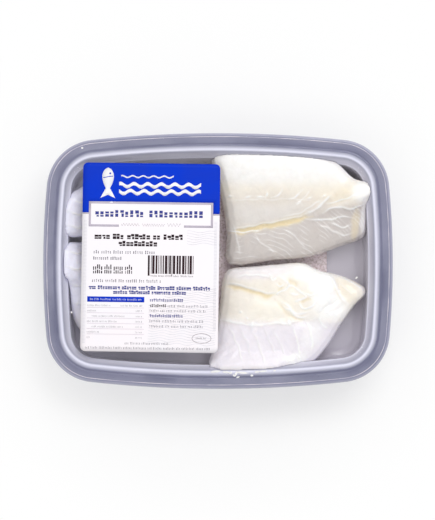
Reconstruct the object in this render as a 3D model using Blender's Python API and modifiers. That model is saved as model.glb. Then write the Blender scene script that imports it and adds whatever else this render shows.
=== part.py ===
"""Desalted cod pieces in a heat-sealed plastic tray, with a film lid and a paper label.

Metres, +Z up. The origin is the middle of the tray's underside, X runs along the tray and Y across it.
"""

import math

import bmesh
import bpy
from mathutils import Vector

MM = 0.001

# Driving dimensions
TRAY_LENGTH = 187 * MM
TRAY_WIDTH = 137 * MM
TRAY_HEIGHT = 25 * MM
TRAY_WALL = 0.6 * MM
CORNER_RADIUS = 26.8 * MM
END_BOW = 5.3 * MM  # how far the bowed short sides stand out beyond their ends
SIDE_BOW = 7.0 * MM  # the same for the long sides
GAP = 0.3 * MM  # clearance that touching pieces keep

FILM_THICKNESS = 0.2 * MM
FILM_MARGIN = 1.9 * MM  # from the tray's outer edge in to the film's cut edge

LABEL_SIZE = (73.4 * MM, 101 * MM)
LABEL_THICKNESS = 0.2 * MM
LABEL_CORNER = 2.6 * MM
LABEL_CENTRE = (-36.1 * MM, 1.6 * MM)
LABEL_TURN = math.radians(-0.8)

PAD_SIZE = (118 * MM, 78 * MM)
PAD_THICKNESS = 1.2 * MM
PAD_CORNER = 3 * MM

# Heights that follow from those above
PAD_BOTTOM = TRAY_WALL + GAP
COD_BOTTOM = PAD_BOTTOM + PAD_THICKNESS + GAP
FILM_BOTTOM = TRAY_HEIGHT + GAP
LABEL_BOTTOM = FILM_BOTTOM + FILM_THICKNESS + GAP

# The tray's upper and inner surface as (distance in from the outer edge, height above the underside):
# first from the skirt's lower edge over the flange, then from the rounded bead down to the floor.
SKIRT_DROP = 3.4 * MM
FLANGE_PROFILE = [
    (0.0 * MM, TRAY_HEIGHT - SKIRT_DROP),
    (0.0 * MM, TRAY_HEIGHT - 1.5 * MM),
    (0.5 * MM, TRAY_HEIGHT - 0.4 * MM),
    (1.6 * MM, TRAY_HEIGHT),
    (8.4 * MM, TRAY_HEIGHT),
]
WALL_PROFILE = [
    (9.6 * MM, TRAY_HEIGHT - 0.2 * MM),
    (10.3 * MM, TRAY_HEIGHT - 1.0 * MM),
    (12.2 * MM, TRAY_HEIGHT - 5.4 * MM),
    (12.9 * MM, TRAY_HEIGHT - 6.0 * MM),
    (13.8 * MM, 5.5 * MM),
    (14.5 * MM, 3.0 * MM),
    (16.0 * MM, 1.3 * MM),
    (18.4 * MM, TRAY_WALL),
]

END_SEGMENTS = 6
SIDE_SEGMENTS = 10
CORNER_SEGMENTS = 9
ROUNDING_SEGMENTS = 5
COD_SAMPLES = 3  # points of a cod piece's outline for each stretch between its named points

# Each cod piece: its outline seen from above in mm, anticlockwise; its height at the middle; how much the
# height grows for each metre along X and Y; how far the middle is crowned above the edge; and its folds, each
# a line in mm with its half width and the height that it adds, or that a crease takes away.
COD_PIECES = {
    "cod_upper_right": {
        "outline": [
            (5.8, -1.2), (30, 1.2), (49, 2.8), (66, 8.5), (78.5, 13.5), (80.5, 21), (80.5, 32), (86, 38.5),
            (76, 42.5), (71, 46), (64, 52.5), (54, 56.5), (36, 59.5), (18, 61), (-2.6, 60), (-1.5, 48),
            (2, 34), (4.7, 15),
        ],
        "height": 16.0 * MM,
        "slope": (0.02, 0.14),
        "crown": 2.5 * MM,
        "folds": [
            ((4, 50), (58, 48), 9 * MM, 1.6 * MM),
            ((8, 15.5), (62, 25), 3.5 * MM, -1.6 * MM),
            ((74, 35), (86, 39), 7 * MM, 5.0 * MM),
        ],
    },
    "cod_lower_right": {
        "outline": [
            (5.6, -3.8), (2.2, -11), (1, -22), (-3, -46), (-4, -63), (22, -63), (42, -59), (53, -52),
            (60.5, -43), (66, -34), (74, -23), (80.3, -16.5), (77, -12), (66, -7), (54, -4), (46, -0.2),
            (34, -0.8), (18, -2.2),
        ],
        "height": 14.0 * MM,
        "slope": (0.0, -0.09),
        "crown": 3.0 * MM,
        "folds": [
            ((6, -14), (32, -20), 3.5 * MM, -1.6 * MM),
            ((3, -32), (48, -32), 3.5 * MM, -1.2 * MM),
            ((50, -17), (60, -28), 6 * MM, 2.0 * MM),
            ((66, -9), (62, -26), 3 * MM, -1.6 * MM),
            ((-4, -60), (30, -60), 8 * MM, 5.5 * MM),
        ],
    },
    "cod_upper_left": {
        "outline": [
            (-87, 16), (-80, 13.2), (-70, 13.5), (-50, 12.5), (-25, 13), (-6, 17), (-4, 30), (-8, 42),
            (-25, 46), (-50, 45.5), (-70, 42), (-80, 36.5), (-86, 28),
        ],
        "height": 13.0 * MM,
        "slope": (-0.03, 0.05),
        "crown": 2.5 * MM,
        "folds": [((-70, 27), (-20, 30), 5 * MM, -1.2 * MM), ((-86, 14), (-86, 30), 9 * MM, 8 * MM)],
    },
    "cod_lower_left": {
        "outline": [
            (-87, 8.5), (-87, -5), (-81, -13), (-79, -27), (-74, -37), (-62, -44), (-45, -47),
            (-25, -45), (-9, -36), (-4, -20), (-4, 0), (-14, 9), (-35, 10.5), (-60, 10.6), (-76, 11),
        ],
        "height": 11.5 * MM,
        "slope": (-0.03, -0.02),
        "crown": 3.0 * MM,
        "folds": [((-78, -12), (-40, -20), 4 * MM, -1.4 * MM), ((-86, -7), (-86, 8), 9 * MM, 9 * MM)],
    },
}
# The rings of a cod piece, from its underside to its crown: (scale of the outline, share of the height).
COD_RINGS = [
    (0.80, 0.0), (0.91, 0.05), (0.98, 0.22), (1.0, 0.48), (0.985, 0.72), (0.94, 0.90), (0.86, 0.98),
    (0.76, 1.0), (0.62, 1.0), (0.46, 1.0), (0.30, 1.0), (0.12, 1.0),
]

COLOURS = {  # base colour, roughness, alpha
    "tray": ((0.30, 0.30, 0.38), 0.25, 0.6),
    "film": ((0.85, 0.85, 0.90), 0.15, 0.2),
    "label": ((0.94, 0.92, 0.95), 0.5, 1.0),
    "pad": ((0.55, 0.50, 0.52), 0.9, 1.0),
    "cod": ((0.80, 0.76, 0.70), 0.4, 1.0),
}


def clear_scene():
    for obj in list(bpy.data.objects):
        bpy.data.objects.remove(obj)


def collection(name, hidden=False):
    made = bpy.data.collections.new(name)
    made.hide_render = hidden
    bpy.context.scene.collection.children.link(made)
    return made


def material(kind):
    """A plain Principled material of that kind, made once."""
    if kind in bpy.data.materials:
        return bpy.data.materials[kind]
    colour, roughness, alpha = COLOURS[kind]
    made = bpy.data.materials.new(kind)
    made.use_nodes = True
    shader = made.node_tree.nodes["Principled BSDF"]
    shader.inputs["Base Color"].default_value = (*colour, 1)
    shader.inputs["Roughness"].default_value = roughness
    shader.inputs["Metallic"].default_value = 0
    shader.inputs["Alpha"].default_value = alpha
    return made


def meet(centre_a, radius_a, centre_b, radius_b):
    """The crossing of two circles that lies at positive X and Y."""
    dx, dy = centre_b[0] - centre_a[0], centre_b[1] - centre_a[1]
    apart = math.hypot(dx, dy)
    along = (radius_a**2 - radius_b**2 + apart**2) / (2 * apart)
    across = math.sqrt(radius_a**2 - along**2)
    middle = (centre_a[0] + along * dx / apart, centre_a[1] + along * dy / apart)
    step_x, step_y = across * dy / apart, -across * dx / apart
    sides = [(middle[0] + turn * step_x, middle[1] + turn * step_y) for turn in (-1, 1)]
    return max(sides, key=min)


def tray_outline(inset):
    """The tray's outline, moved in by inset: four bowed sides and four round corners, anticlockwise."""
    half_length, half_width = TRAY_LENGTH / 2, TRAY_WIDTH / 2
    end_radius = (half_width**2 + END_BOW**2) / (2 * END_BOW)
    side_radius = (half_length**2 + SIDE_BOW**2) / (2 * SIDE_BOW)
    end = (half_length - end_radius, 0)
    side = (0, half_width - side_radius)
    corner = meet(end, end_radius - CORNER_RADIUS, side, side_radius - CORNER_RADIUS)
    end_turn = math.atan2(corner[1] - end[1], corner[0] - end[0])
    side_turn = math.atan2(corner[1] - side[1], corner[0] - side[0])

    quarter = []
    for centre, radius, start, stop, segments in (
        (end, end_radius, 0, end_turn, END_SEGMENTS // 2),
        (corner, CORNER_RADIUS, end_turn, side_turn, CORNER_SEGMENTS),
        (side, side_radius, side_turn, math.pi / 2, SIDE_SEGMENTS // 2),
    ):
        for step in range(segments):
            turn = start + (stop - start) * step / segments
            x = centre[0] + (radius - inset) * math.cos(turn)
            quarter.append((x, centre[1] + (radius - inset) * math.sin(turn)))
    quarter.append((0, half_width - inset))

    points = []
    for sign_x, sign_y in ((1, 1), (-1, 1), (-1, -1), (1, -1)):
        mirrored = [(sign_x * x, sign_y * y) for x, y in quarter]
        points += mirrored[:-1] if sign_x == sign_y else mirrored[:0:-1]
    return points


def loft(rings, start_cap, end_cap):
    """A bmesh through closed rings of points, one after another, with a face over either end."""
    mesh = bmesh.new()
    loops = []
    for ring in rings:
        corners = [mesh.verts.new(point) for point in ring]
        loops.append([mesh.edges.new(pair) for pair in zip(corners, corners[1:] + corners[:1])])
        if (start_cap and len(loops) == 1) or (end_cap and len(loops) == len(rings)):
            mesh.faces.new(corners)
    for lower, upper in zip(loops, loops[1:]):
        bmesh.ops.bridge_loops(mesh, edges=lower + upper)
    bmesh.ops.recalc_face_normals(mesh, faces=mesh.faces)
    return mesh


def place(name, data, kind, parts):
    """Puts a mesh or curve into the scene as an object with its material."""
    obj = bpy.data.objects.new(name, data)
    parts.objects.link(obj)
    if kind:
        data.materials.append(material(kind))
    return obj


def mesh_object(name, shape, kind, parts):
    data = bpy.data.meshes.new(name)
    shape.to_mesh(data)
    shape.free()
    return place(name, data, kind, parts)


def make_tray(parts):
    """The thermoformed tray: skirt, sealing flange, stepped wall and floor, of one wall thickness."""
    profile = FLANGE_PROFILE + WALL_PROFILE
    rings = [[(x, y, height) for x, y in tray_outline(inset)] for inset, height in profile]
    shell = loft(rings, start_cap=False, end_cap=True)
    floor = max(shell.faces, key=lambda face: len(face.verts))
    if floor.normal.z < 0:
        bmesh.ops.reverse_faces(shell, faces=shell.faces)
    tray = mesh_object("tray", shell, "tray", parts)
    tray.data.shade_smooth()
    tray.data.set_sharp_from_angle(angle=math.radians(40))
    solidify = tray.modifiers.new("wall", "SOLIDIFY")
    solidify.thickness = TRAY_WALL
    solidify.offset = -1
    solidify.use_even_offset = True
    return tray


def make_cavity(guides):
    """The free inside of the tray, a clearance smaller all round. It trims the cod pieces."""
    profile = [(WALL_PROFILE[0][0], TRAY_HEIGHT - 2 * GAP)] + WALL_PROFILE[1:]
    rings = [[(x, y, height + GAP) for x, y in tray_outline(inset + GAP)] for inset, height in profile]
    cavity = mesh_object("cavity", loft(rings, start_cap=True, end_cap=True), None, guides)
    cavity.hide_render = True
    cavity.display_type = "WIRE"
    return cavity


def rounded_rectangle(size, radius):
    """Points round a rectangle about the origin whose corners are arcs."""
    points = []
    for quarter, (sign_x, sign_y) in enumerate(((1, 1), (-1, 1), (-1, -1), (1, -1))):
        centre_x = sign_x * (size[0] / 2 - radius)
        centre_y = sign_y * (size[1] / 2 - radius)
        for step in range(ROUNDING_SEGMENTS + 1):
            turn = (quarter + step / ROUNDING_SEGMENTS) * math.pi / 2
            points.append((centre_x + radius * math.cos(turn), centre_y + radius * math.sin(turn)))
    return points


def make_sheet(name, outline, thickness, bottom, kind, parts):
    """A flat sheet of even thickness: a filled 2D curve, extruded both ways."""
    curve = bpy.data.curves.new(name, "CURVE")
    curve.dimensions = "2D"
    curve.fill_mode = "BOTH"
    curve.extrude = thickness / 2
    spline = curve.splines.new("POLY")
    spline.points.add(len(outline) - 1)
    for point, (x, y) in zip(spline.points, outline):
        point.co = (x, y, 0, 1)
    spline.use_cyclic_u = True
    sheet = place(name, curve, kind, parts)
    sheet.location.z = bottom + thickness / 2
    return sheet


def smooth_outline(points):
    """A closed smooth curve through points given in mm, as piecewise cubics."""
    made = []
    for index in range(len(points)):
        near = [Vector(points[(index + offset) % len(points)]) * MM for offset in (-1, 0, 1, 2)]
        slope_start = (near[2] - near[0]) / 2
        slope_stop = (near[3] - near[1]) / 2
        for step in range(COD_SAMPLES):
            t = step / COD_SAMPLES
            point = near[1] * (1 + 2 * t) * (1 - t) ** 2 + near[2] * t**2 * (3 - 2 * t)
            point += slope_start * t * (1 - t) ** 2 + slope_stop * t**2 * (t - 1)
            made.append(point)
    return made


def fold_height(x, y, folds):
    """What a piece's folds and creases add to its height at a point."""
    added = 0
    for start, stop, half_width, height in folds:
        line = Vector(stop) * MM - Vector(start) * MM
        away = Vector((x, y)) - Vector(start) * MM
        along = min(max(away.dot(line) / line.length_squared, 0), 1)
        added += height * math.exp(-(((away - along * line).length / half_width) ** 2))
    return added


def make_cod(name, sizes, cavity, parts):
    """One piece of cod loin: a flat underside, rounded sides and a crowned, sloping, folded top."""
    outline = smooth_outline(sizes["outline"])
    centre_x = sum(x for x, _ in outline) / len(outline)
    centre_y = sum(y for _, y in outline) / len(outline)
    rings = []
    for scale, share in COD_RINGS:
        ring = []
        for edge_x, edge_y in outline:
            away_x, away_y = (edge_x - centre_x) * scale, (edge_y - centre_y) * scale
            x, y = centre_x + away_x, centre_y + away_y
            top = sizes["height"] + sizes["slope"][0] * away_x + sizes["slope"][1] * away_y
            top += sizes["crown"] * (1 - scale**2) + fold_height(x, y, sizes["folds"])
            ring.append((x, y, COD_BOTTOM + top * share))
        rings.append(ring)
    piece = mesh_object(name, loft(rings, start_cap=True, end_cap=True), "cod", parts)
    piece.data.shade_smooth()
    trim = piece.modifiers.new("inside_tray", "BOOLEAN")
    trim.operation = "INTERSECT"
    trim.solver = "EXACT"
    trim.object = cavity
    return piece


def main():
    clear_scene()
    parts = collection("sealed_cod_tray")
    guides = collection("guides", hidden=True)
    make_tray(parts)
    cavity = make_cavity(guides)
    for name, sizes in COD_PIECES.items():
        make_cod(name, sizes, cavity, parts)
    pad_outline = rounded_rectangle(PAD_SIZE, PAD_CORNER)
    make_sheet("absorbent_pad", pad_outline, PAD_THICKNESS, PAD_BOTTOM, "pad", parts)
    make_sheet("film_lid", tray_outline(FILM_MARGIN), FILM_THICKNESS, FILM_BOTTOM, "film", parts)
    label_outline = rounded_rectangle(LABEL_SIZE, LABEL_CORNER)
    label = make_sheet("label", label_outline, LABEL_THICKNESS, LABEL_BOTTOM, "label", parts)
    label.location.x, label.location.y = LABEL_CENTRE
    label.rotation_euler.z = LABEL_TURN


main()
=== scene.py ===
import math
import random

import bmesh
import bpy
import numpy as np
from mathutils import Matrix, Vector, noise


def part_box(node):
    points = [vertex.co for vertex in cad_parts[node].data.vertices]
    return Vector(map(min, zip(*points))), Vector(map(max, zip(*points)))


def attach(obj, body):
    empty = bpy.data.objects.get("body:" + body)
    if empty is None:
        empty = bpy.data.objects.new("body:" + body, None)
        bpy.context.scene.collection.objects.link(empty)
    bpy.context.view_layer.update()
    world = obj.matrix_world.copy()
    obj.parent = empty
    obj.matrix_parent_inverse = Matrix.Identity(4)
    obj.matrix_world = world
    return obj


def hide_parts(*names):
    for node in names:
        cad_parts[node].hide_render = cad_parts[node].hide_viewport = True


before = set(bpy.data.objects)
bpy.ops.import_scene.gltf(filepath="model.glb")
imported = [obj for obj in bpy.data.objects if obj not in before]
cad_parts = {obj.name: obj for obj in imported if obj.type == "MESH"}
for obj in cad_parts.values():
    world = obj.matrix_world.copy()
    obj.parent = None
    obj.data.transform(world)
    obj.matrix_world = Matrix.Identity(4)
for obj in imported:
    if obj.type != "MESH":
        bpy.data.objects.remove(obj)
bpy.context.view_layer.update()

MM = 0.001


# ----------------------------------------
# The tray. A sheet of grey, see-through polypropylene, drawn by vacuum into a mould and cut round its rim.
# It has a down-turned skirt, a flat flange that the film is welded to, a rounded bead that the drawing
# stretches thin and that carries a painted highlight, a wall with a small stacking ledge, and a flat floor.

HALF_LENGTH, HALF_WIDTH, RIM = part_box("tray")[1]
END_BOW, SIDE_BOW = 5.3 * MM, 7.0 * MM
END_RADIUS = (HALF_WIDTH**2 + END_BOW**2) / (2 * END_BOW)
SIDE_RADIUS = (HALF_LENGTH**2 + SIDE_BOW**2) / (2 * SIDE_BOW)
END_X, SIDE_Y = HALF_LENGTH - END_RADIUS, HALF_WIDTH - SIDE_RADIUS  # the middles of those two arcs
RIM_CORNER = 26.8 * MM
SKIRT = 3.4 * MM
GROOVE = 0.12 * MM  # pressed in by the weld
BEAD_IN, BEAD_OUT = 9.0 * MM, 9.4 * MM  # where the bead is palest, and where the flange ends
TRAY_WALL = 0.6 * MM


def meet(centre_a, radius_a, centre_b, radius_b):
    """The crossing of two circles at positive X and Y."""
    gap = Vector(centre_b) - Vector(centre_a)
    along = (radius_a**2 - radius_b**2 + gap.length_squared) / (2 * gap.length)
    across = math.sqrt(radius_a**2 - along**2)
    toward = gap.normalized()
    sides = [Vector(centre_a) + toward * along + Vector((toward.y, -toward.x)) * s * across for s in (-1, 1)]
    return max(sides, key=min)


CORNER = meet((END_X, 0), END_RADIUS - RIM_CORNER, (0, SIDE_Y), SIDE_RADIUS - RIM_CORNER)


def rim_outline(inset, per_end=10, per_corner=20, per_side=16):
    """The rim's outline moved in by inset: bowed ends and sides and round corners, anticlockwise."""
    end, side = Vector((END_X, 0)), Vector((0, SIDE_Y))
    end_turn = math.atan2(*(CORNER - end).yx)
    side_turn = math.atan2(*(CORNER - side).yx)
    quarter = []
    for centre, radius, start, stop, count in (
        (end, END_RADIUS, 0, end_turn, per_end),
        (CORNER, RIM_CORNER, end_turn, side_turn, per_corner),
        (side, SIDE_RADIUS, side_turn, math.pi / 2, per_side),
    ):
        for step in range(count):
            turn = start + (stop - start) * step / count
            quarter.append(centre + (radius - inset) * Vector((math.cos(turn), math.sin(turn))))
    quarter.append(Vector((0, HALF_WIDTH - inset)))
    points = []
    for sign_x, sign_y in ((1, 1), (-1, 1), (-1, -1), (1, -1)):
        mirrored = [(sign_x * point.x, sign_y * point.y) for point in quarter]
        points += mirrored[:-1] if sign_x == sign_y else mirrored[:0:-1]
    return points


def rounded(corners, radius, steps=5):
    """A profile of straight runs whose inner corners are rounded off."""
    made = [Vector(corners[0])]
    for before, here, after in zip(corners, corners[1:], corners[2:]):
        before, here, after = Vector(before), Vector(here), Vector(after)
        reach = min(radius, (before - here).length * 0.48, (after - here).length * 0.48)
        start = here + (before - here).normalized() * reach
        stop = here + (after - here).normalized() * reach
        for step in range(steps + 1):
            t = step / steps
            made.append(start * (1 - t) ** 2 + here * 2 * t * (1 - t) + stop * t**2)
    made.append(Vector(corners[-1]))
    return [made[0]] + [after for before, after in zip(made, made[1:]) if (after - before).length > 0.01 * MM]


def loft(rings, end_cap=False):
    """A bmesh drawn through closed rings of points in turn, with a face over the last one if wanted."""
    mesh = bmesh.new()
    corners = [mesh.verts.new(point) for point in rings[0]]
    loop = [mesh.edges.new(pair) for pair in zip(corners, corners[1:] + corners[:1])]
    for points in rings[1:]:
        drawn = bmesh.ops.extrude_edge_only(mesh, edges=loop)["geom"]
        fresh = {part for part in drawn if isinstance(part, bmesh.types.BMVert)}
        reached = [[edge.other_vert(corner) for edge in corner.link_edges] for corner in corners]
        corners = [next(vert for vert in verts if vert in fresh) for verts in reached]
        for corner, point in zip(corners, points):
            corner.co = point
        edges = [part for part in drawn if isinstance(part, bmesh.types.BMEdge)]
        loop = [edge for edge in edges if fresh.issuperset(edge.verts)]
    if end_cap:
        mesh.faces.new(corners)
    bmesh.ops.recalc_face_normals(mesh, faces=mesh.faces)
    return mesh


def piece(name, mesh, material, smooth=math.radians(40)):
    """Puts a bmesh into the scene as an object with its material, shaded smooth up to that angle."""
    data = bpy.data.meshes.new(name)
    mesh.to_mesh(data)
    mesh.free()
    made = bpy.data.objects.new(name, data)
    bpy.context.scene.collection.objects.link(made)
    data.materials.append(material)
    data.shade_smooth()
    if smooth is not None:
        data.set_sharp_from_angle(angle=smooth)
    return made


def bake_modifiers(made):
    """Turns an object's modifiers into its mesh."""
    depsgraph = bpy.context.evaluated_depsgraph_get()
    data = bpy.data.meshes.new_from_object(made.evaluated_get(depsgraph))
    made.modifiers.clear()
    made.data = data
    return made


def thicken(made, thickness, offset, even=False):
    """Gives a sheet its thickness, away from its front with an offset of -1 and towards it with 1."""
    body = made.modifiers.new("body", "SOLIDIFY")
    body.thickness = thickness
    body.offset = offset
    body.use_even_offset = even
    bake_modifiers(made)


def srgb(red, green, blue):
    """A colour given as 0 to 255 on the screen, as linear light."""
    parts = [channel / 255 for channel in (red, green, blue)]
    return tuple(c / 12.92 if c <= 0.04045 else ((c + 0.055) / 1.055) ** 2.4 for c in parts) + (1.0,)


class Finish:
    """A material under construction: its nodes are added by name and joined by sockets."""

    def __init__(self, name):
        self.material = bpy.data.materials.new(name)
        self.material.use_nodes = True
        self.tree = self.material.node_tree
        self.shader = self.tree.nodes["Principled BSDF"]

    def node(self, kind, settings=None, **inputs):
        """Adds a node. An input is a value, or the output socket that feeds it, and _0 is the first input."""
        made = self.tree.nodes.new("ShaderNode" + kind)
        for key, value in (settings or {}).items():
            setattr(made, key, value)
        for key, value in inputs.items():
            self.feed(made.inputs[int(key[1:]) if key[0] == "_" else key.replace("_", " ")], value)
        return made

    def feed(self, socket, value):
        """Gives an input its value, or links it to the output socket that is given."""
        if isinstance(value, bpy.types.NodeSocket):
            self.tree.links.new(value, socket)
        else:
            socket.default_value = value

    def set(self, **inputs):
        """Sets or feeds inputs of the Principled shader."""
        for key, value in inputs.items():
            self.feed(self.shader.inputs[key.replace("_", " ")], value)

    def place(self):
        """The place on the object, in its own coordinates."""
        return self.node("TexCoord").outputs["Object"]

    def noise(self, scale, detail=2.0, distortion=0.0):
        """Soft noise over the object, one feature in 1/scale metres."""
        made = self.node("TexNoise", Vector=self.place(), Scale=scale, Detail=detail, Distortion=distortion)
        return made.outputs["Fac"]

    def attribute(self, name):
        """A value painted on the piece's points."""
        return self.node("Attribute", {"attribute_name": name}).outputs["Fac"]

    def ramp(self, value, low, high, start=0.0, stop=1.0):
        """Value taken from low..high to start..stop, and held there."""
        made = self.node("MapRange", {"interpolation_type": "SMOOTHSTEP"}, Value=value)
        for key, number in (("From Min", low), ("From Max", high), ("To Min", start), ("To Max", stop)):
            made.inputs[key].default_value = number
        return made.outputs["Result"]

    def mix(self, share, low, high):
        """A colour between two, by share."""
        return self.node("Mix", {"data_type": "RGBA"}, _0=share, _6=low, _7=high).outputs[2]

    def surface(self, share, low, high):
        """Makes the surface a mix of two shader nodes, by share."""
        shared = self.node("MixShader", _0=share, _1=low.outputs[0], _2=high.outputs[0])
        self.feed(self.tree.nodes["Material Output"].inputs["Surface"], shared.outputs[0])

    def combine(self, operation, first, second, clamp=False):
        """Two numbers combined by an operation of the Math node."""
        settings = {"operation": operation, "use_clamp": clamp}
        return self.node("Math", settings, _0=first, _1=second).outputs[0]

    def bump(self, height, strength, distance):
        """Roughens the surface by a height that runs from 0 to 1 over that distance."""
        made = self.node("Bump", Height=height, Strength=strength, Distance=distance)
        self.set(Normal=made.outputs[0])


def paint(made, name, values):
    """Stores one number on each point of a mesh."""
    made.data.attributes.new(name, "FLOAT", "POINT").data.foreach_set("value", np.asarray(values, np.float32))


def points_of(made):
    """The mesh's points as an array, in metres."""
    flat = np.empty(len(made.data.vertices) * 3, np.float64)
    made.data.vertices.foreach_get("co", flat)
    return flat.reshape(-1, 3)


tray_profile = rounded(
    [
        (0, RIM - SKIRT),
        (0, RIM - 0.9 * MM),
        (0.9 * MM, RIM),
        (5.3 * MM, RIM),
        (5.6 * MM, RIM - GROOVE),
        (6.2 * MM, RIM - GROOVE),
        (6.5 * MM, RIM),
        (BEAD_OUT, RIM),
        (10.3 * MM, RIM - 1.0 * MM),
        (12.2 * MM, RIM - 5.4 * MM),  # the stacking ledge
        (12.9 * MM, RIM - 5.9 * MM),
        (13.7 * MM, 5.5 * MM),
        (14.5 * MM, 1.6 * MM),  # the foot of the wall
        (18.4 * MM, TRAY_WALL),
        (24 * MM, TRAY_WALL),
    ],
    1.1 * MM,
)
tray_mesh = loft([[(x, y, h) for x, y in rim_outline(inset)] for inset, h in tray_profile], end_cap=True)
floor_face = max(tray_mesh.faces, key=lambda face: len(face.verts))
if floor_face.normal.z < 0:
    bmesh.ops.reverse_faces(tray_mesh, faces=tray_mesh.faces)
bmesh.ops.poke(tray_mesh, faces=[floor_face])

GREY_PLASTIC = srgb(104, 106, 136)
CLOUDY_PLASTIC = srgb(118, 119, 148)
PALE_PLASTIC = srgb(238, 238, 255)
FLOOR_PLASTIC = srgb(204, 199, 211)
plastic = Finish("tray_polypropylene")
# The pale share: stretch marks, painted highlights on the bead, cut edge and ledge, and painted light on the
# wall.
stretched_and_lit = plastic.attribute("stretched_and_lit")
clouds = plastic.noise(60, detail=3)
drawn_grey = plastic.mix(plastic.ramp(clouds, 0.3, 0.7), GREY_PLASTIC, CLOUDY_PLASTIC)
# Painted light: the floor and lower wall are painted paler, as lit through the thin sheet from the table
# below.
drawn_grey = plastic.mix(plastic.attribute("thin_and_lit"), drawn_grey, FLOOR_PLASTIC)
plastic.set(
    Base_Color=plastic.mix(stretched_and_lit, drawn_grey, PALE_PLASTIC),
    Roughness=plastic.ramp(plastic.noise(180, detail=4), 0.3, 0.7, 0.09, 0.20),
    Alpha=0.86,
    IOR=1.49,
)
plastic.bump(plastic.noise(350, detail=3), 0.06, 0.2 * MM)
tray = piece("tray_shell", tray_mesh, plastic.material)
thicken(tray, TRAY_WALL, -1, even=True)
spots = points_of(tray)


def rim_inset(x, y):
    """How far inside the rim's outline points are, from the two bowed sides or the corner arc."""
    x, y = np.abs(x), np.abs(y)
    from_end = END_RADIUS - np.hypot(x - END_X, y)
    from_side = SIDE_RADIUS - np.hypot(x, y - SIDE_Y)
    from_corner = RIM_CORNER - np.hypot(x - CORNER.x, y - CORNER.y)
    beyond_end = np.arctan2(y, x - END_X) > np.arctan2(CORNER.y, CORNER.x - END_X)
    beyond_side = np.arctan2(y - SIDE_Y, x) < np.arctan2(CORNER.y - SIDE_Y, CORNER.x)
    return np.where(beyond_end & beyond_side, from_corner, np.minimum(from_end, from_side))


def ring(inset, centre, half_width):
    """1 on a ring of that width at that inset, falling smoothly to 0 beside it."""
    return np.exp(-(((inset - centre) / half_width) ** 2))


# The sheet is painted pale where the drawing stretches it or the die cuts it, and where light falls on it: a
# painted highlight on the bead, which the drawing also stretches, on the cut edge and on the ledge; painted
# light coming through the wall below the bead; and, in broken lines, pale marks on both sides of the weld. At
# the label's end the whole inside is painted paler, as painted light against the label's shadow.
tray_in = rim_inset(spots[:, 0], spots[:, 1])
along_rim = np.array([noise.noise(Vector(spot) * 45) for spot in spots])
dashes = np.clip(0.5 + 1.6 * along_rim, 0, 1)
pale = ring(tray_in, BEAD_IN - 0.1 * MM, 0.7 * MM) + 0.62 * ring(tray_in, 11.6 * MM, 2.0 * MM)
pale += 0.42 * ring(tray_in, 0.0, 1.5 * MM) + 0.35 * ring(tray_in, 12.7 * MM, 0.35 * MM)
pale += 0.16 * dashes * ring(tray_in, 5.1 * MM, 0.45 * MM) + 0.18 * dashes * ring(tray_in, 6.9 * MM, 0.3 * MM)
# The floor and lower wall, whose paler colour is painted light coming through the thin sheet.
thin_and_lit = np.clip((tray_in - 10 * MM) / (3 * MM), 0, 1) * (spots[:, 2] < RIM - 1 * MM)
pale += 0.5 * thin_and_lit * np.clip(-spots[:, 0] / (25 * MM), 0, 1)
paint(tray, "thin_and_lit", thin_and_lit)
paint(tray, "stretched_and_lit", np.clip(pale, 0, 1))
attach(tray, "root")
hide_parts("tray")


# ----------------------------------------
# The absorbent pad. A thin quilt of cellulose between two perforated sheets, laid loose on the tray's floor
# before the fish to take up its brine. It is damp, pinkish grey and lightly embossed.

PAD_LOW, PAD_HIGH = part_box("absorbent_pad")
PAD_STEP = 0.8 * MM
QUILT = 6.5 * MM  # between the embossed lines
EMBOSSING = 0.25 * MM  # the room left above the pad's body for it
pad_mesh = bmesh.new()
pad_size = PAD_HIGH - PAD_LOW
pad_columns, pad_rows = round(pad_size.x / PAD_STEP), round(pad_size.y / PAD_STEP)
bmesh.ops.create_grid(pad_mesh, x_segments=pad_columns, y_segments=pad_rows, size=0.5)
bmesh.ops.scale(pad_mesh, verts=pad_mesh.verts, vec=(pad_size.x, pad_size.y, 1))
pad_thickness = pad_size.z - EMBOSSING
for vert in pad_mesh.verts:
    x, y = vert.co.x, vert.co.y
    quilt = abs(math.sin(math.pi * (x + y) / QUILT)) * abs(math.sin(math.pi * (x - y) / QUILT))
    crumple = noise.noise(Vector((x, y, 0)) * 700) * 0.10 + noise.noise(Vector((x, y, 3)) * 140) * 0.12
    vert.co.z = pad_thickness + (0.18 * quilt**0.5 + crumple) * MM * 0.6
    vert.co.z = min(vert.co.z, pad_size.z)
bmesh.ops.translate(pad_mesh, verts=pad_mesh.verts, vec=(*((PAD_LOW + PAD_HIGH) / 2).xy, PAD_LOW.z))

cellulose = Finish("damp_cellulose")
pad_speckle = cellulose.ramp(cellulose.noise(900, detail=3), 0.35, 0.75)
pad_cloud = cellulose.ramp(cellulose.noise(90, detail=4), 0.35, 0.65)
pad_tone = cellulose.mix(pad_cloud, srgb(246, 232, 238), srgb(228, 214, 220))
cellulose.set(Base_Color=cellulose.mix(pad_speckle, pad_tone, srgb(192, 174, 174)), Roughness=0.62)
cellulose.set(Subsurface_Weight=0.05, Subsurface_Scale=0.001)
cellulose.bump(cellulose.noise(1100, detail=2), 0.3, 0.15 * MM)
pad = piece("absorbent_pad_quilt", pad_mesh, cellulose.material)
thicken(pad, pad_thickness - 0.15 * MM, -1)
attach(pad, "root")
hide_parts("absorbent_pad")


# ----------------------------------------
# The fish: four pieces of skinned cod loin, salted, then soaked in water, so that the flesh is white, moist
# and half see-through. It is cut across its flakes, lies in soft folds, and leans on the tray's wall. Thin
# white membranes part the flakes, and the creases between them are cream to yellow.

FLESH = srgb(254, 250, 244)
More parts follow.
